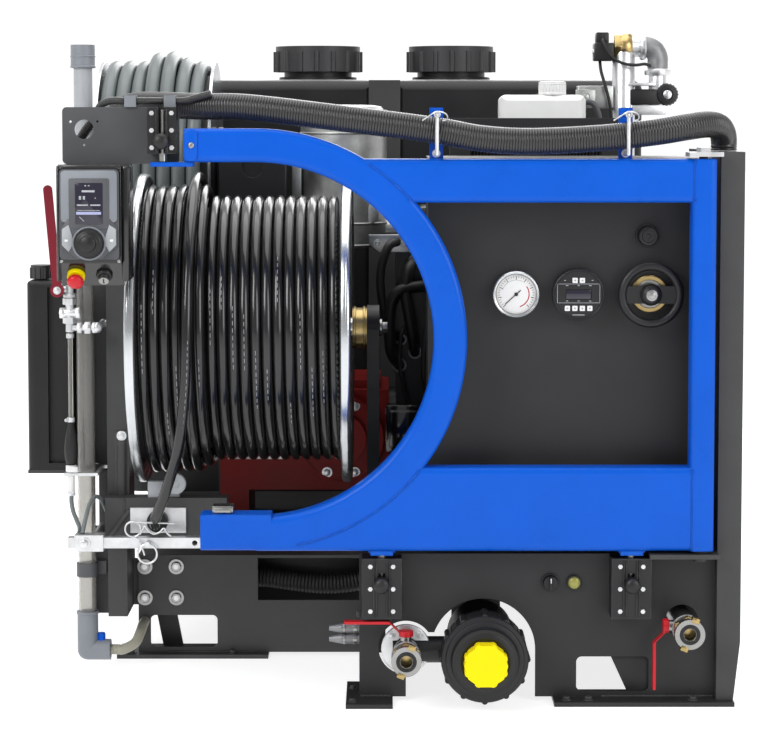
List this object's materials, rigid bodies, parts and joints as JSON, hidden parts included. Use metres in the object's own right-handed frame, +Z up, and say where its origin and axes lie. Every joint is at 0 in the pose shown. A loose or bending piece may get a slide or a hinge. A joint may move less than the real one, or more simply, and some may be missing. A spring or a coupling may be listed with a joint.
{
  "type": "drain jetter",
  "caption": "Skid-mounted drain jetter with a swing-out guard gate, a pressure hose reel, a fill hose reel, an engine-driven pump and water tanks.",
  "frame": {"origin": "centre of the four floor bolts, on the floor", "axes": "+X to the operator's right, -Y towards the operator, +Z up"},
  "size_m": [1.3382, 1.73, 1.238],
  "materials": {
    "blue_paint": "glossy blue powder coat",
    "dark_paint": "satin dark grey powder coat",
    "panel_paint": "satin black powder coat",
    "latch_paint": "satin grey paint",
    "engine_paint": "satin black engine paint",
    "red_paint": "semi-gloss red enamel",
    "reel_paint": "pale grey powder coat",
    "steel": "plain machined steel",
    "zinc": "bright zinc plate",
    "silencer_metal": "dull aluminised sheet",
    "brass": "dull cast brass",
    "black_plastic": "moulded black plastic",
    "tank_plastic": "rotationally moulded dark plastic",
    "conduit_plastic": "corrugated black plastic",
    "grey_plastic": "grey moulded plastic",
    "bottle_plastic": "milky white plastic",
    "clear_tube": "clear plastic tube",
    "red_plastic": "glossy red plastic",
    "yellow_plastic": "glossy yellow plastic",
    "hose_rubber": "dark hose cover",
    "black_rubber": "matt black rubber",
    "grey_hose": "grey flexible hose cover"
  },
  "bodies": {
    "machine": {"chassis": "dark_paint", "lower_front_panel": "dark_paint", "side_column": "dark_paint", "instrument_panel": "panel_paint", "gate_pivots": "dark_paint", "latch_blocks": "latch_paint", "reel_post": "dark_paint", "reel_pedestal": "dark_paint", "top_plate": "dark_paint", "control_box": "panel_paint", "control_display": "black_plastic", "stop_collar": "yellow_plastic", "fill_reel_stand": "dark_paint", "tank_left": "tank_plastic", "tank_right": "tank_plastic", "fuel_tank": "tank_plastic", "engine": "engine_paint", "silencer": "silencer_metal", "radiator": "panel_paint", "coolant_bottle": "bottle_plastic", "jet_pump": "red_paint", "filter_body": "black_plastic", "valve_bodies": "steel", "main_conduit": "conduit_plastic", "small_conduit": "conduit_plastic", "level_tube": "clear_tube", "grey_fittings": "grey_plastic", "drain_hose": "grey_hose", "steel_fittings": "steel", "primer_bulb": "black_rubber", "hose_holder": "zinc", "holder_ring": "black_rubber", "pressure_gauge": "steel", "digital_meter": "black_plastic", "solenoid_valves": "brass", "fasteners": "zinc", "jet_hose": "hose_rubber"},
    "gate": {"gate_frame": "blue_paint", "keeper_rods": "zinc"},
    "bolt_mid": {"slide_bolt_mid": "steel"},
    "bolt_right": {"slide_bolt_right": "steel"},
    "bolt_top": {"slide_bolt_top": "steel"},
    "pressure_reel": {"jet_reel": "reel_paint", "jet_winding": "hose_rubber"},
    "fill_drum": {"fill_reel": "dark_paint", "fill_hose_winding": "grey_hose"},
    "arm": {"guide_arm": "zinc"},
    "lid_left": {"tank_lid_left": "black_plastic"},
    "lid_right": {"tank_lid_right": "black_plastic"},
    "fuel_filler_cap": {"fuel_cap": "black_plastic"},
    "filter_cap": {"filter_ring": "black_plastic"},
    "lever_inlet": {"inlet_lever": "red_plastic"},
    "lever_outlet": {"outlet_lever": "red_plastic"},
    "regulator_wheel": {"handwheel": "black_plastic"},
    "small_knob": {"panel_knob": "black_plastic"},
    "display_knob": {"control_knob": "black_plastic"},
    "stop": {"stop_button": "red_plastic"},
    "key": {"key_switch": "steel"},
    "selector": {"rotary_switch": "black_plastic"},
    "lever_drain": {"drain_lever": "red_plastic"}
  },
  "joints": [
    {"name": "gate_hinge", "type": "hinge", "parent": "machine", "child": "gate", "pos_m": [0.57, -1.008, 0.64], "axis": [0, 0, 1], "range_deg": [0, 100], "deforming": ["main_conduit"]},
    {"name": "bolt_mid_slide", "type": "slide", "parent": "machine", "child": "bolt_mid", "axis": [0, 0, 1], "range_m": [0, 0.014]},
    {"name": "bolt_right_slide", "type": "slide", "parent": "machine", "child": "bolt_right", "axis": [0, 0, 1], "range_m": [0, 0.014]},
    {"name": "bolt_top_slide", "type": "slide", "parent": "machine", "child": "bolt_top", "axis": [0, 0, -1], "range_m": [0, 0.014]},
    {"name": "pressure_reel_spin", "type": "hinge", "parent": "machine", "child": "pressure_reel", "pos_m": [-0.274, -0.65, 0.655], "axis": [1, 0, 0], "continuous": true},
    {"name": "fill_reel_spin", "type": "hinge", "parent": "machine", "child": "fill_drum", "pos_m": [-0.484, -0.12, 0.982], "axis": [1, 0, 0], "continuous": true},
    {"name": "guide_arm_slide", "type": "slide", "parent": "machine", "child": "arm", "axis": [1, 0, 0], "range_m": [0, 0.1]},
    {"name": "lid_left_turn", "type": "hinge", "parent": "machine", "child": "lid_left", "pos_m": [-0.158, 0.388, 1.2], "axis": [0, 0, 1], "range_deg": [0, 360]},
    {"name": "lid_right_turn", "type": "hinge", "parent": "machine", "child": "lid_right", "pos_m": [0.158, 0.388, 1.2], "axis": [0, 0, 1], "range_deg": [0, 360]},
    {"name": "fuel_cap_turn", "type": "hinge", "parent": "machine", "child": "fuel_filler_cap", "pos_m": [-0.668, -0.648, 0.76], "axis": [0, 0, 1], "range_deg": [0, 360]},
    {"name": "filter_ring_turn", "type": "hinge", "parent": "machine", "child": "filter_cap", "pos_m": [0.18, -1.04, 0.094], "axis": [0, -1, 0], "range_deg": [0, 360]},
    {"name": "inlet_lever_turn", "type": "hinge", "parent": "machine", "child": "lever_inlet", "pos_m": [0.039, -1.014, 0.142], "axis": [0, 0, 1], "range_deg": [0, 90]},
    {"name": "outlet_lever_turn", "type": "hinge", "parent": "machine", "child": "lever_outlet", "pos_m": [0.508, -1.02, 0.148], "axis": [-1, 0, 0], "range_deg": [0, 90]},
    {"name": "handwheel_turn", "type": "hinge", "parent": "machine", "child": "regulator_wheel", "pos_m": [0.484, -0.954, 0.742], "axis": [0, -1, 0], "range_deg": [0, 720]},
    {"name": "panel_knob_turn", "type": "hinge", "parent": "machine", "child": "small_knob", "pos_m": [0.48, -0.932, 0.848], "axis": [0, -1, 0], "range_deg": [0, 270]},
    {"name": "control_knob_turn", "type": "hinge", "parent": "machine", "child": "display_knob", "pos_m": [-0.523, -1.06, 0.841], "axis": [0, -1, 0], "continuous": true},
    {"name": "stop_button_push", "type": "slide", "parent": "machine", "child": "stop", "axis": [0, 0.7071, 0.7071], "range_m": [0, 0.005]},
    {"name": "key_turn", "type": "hinge", "parent": "machine", "child": "key", "pos_m": [-0.5006, -1.0185, 0.7835], "axis": [0, -0.7071, -0.7071], "range_deg": [0, 90]},
    {"name": "rotary_switch_turn", "type": "hinge", "parent": "machine", "child": "selector", "pos_m": [0.302, -0.994, 0.219], "axis": [0, -1, 0], "range_deg": [0, 90]},
    {"name": "drain_lever_turn", "type": "hinge", "parent": "machine", "child": "lever_drain", "pos_m": [-0.617, -0.794, 0.738], "axis": [0, -1, 0], "range_deg": [0, 90]}
  ]
}
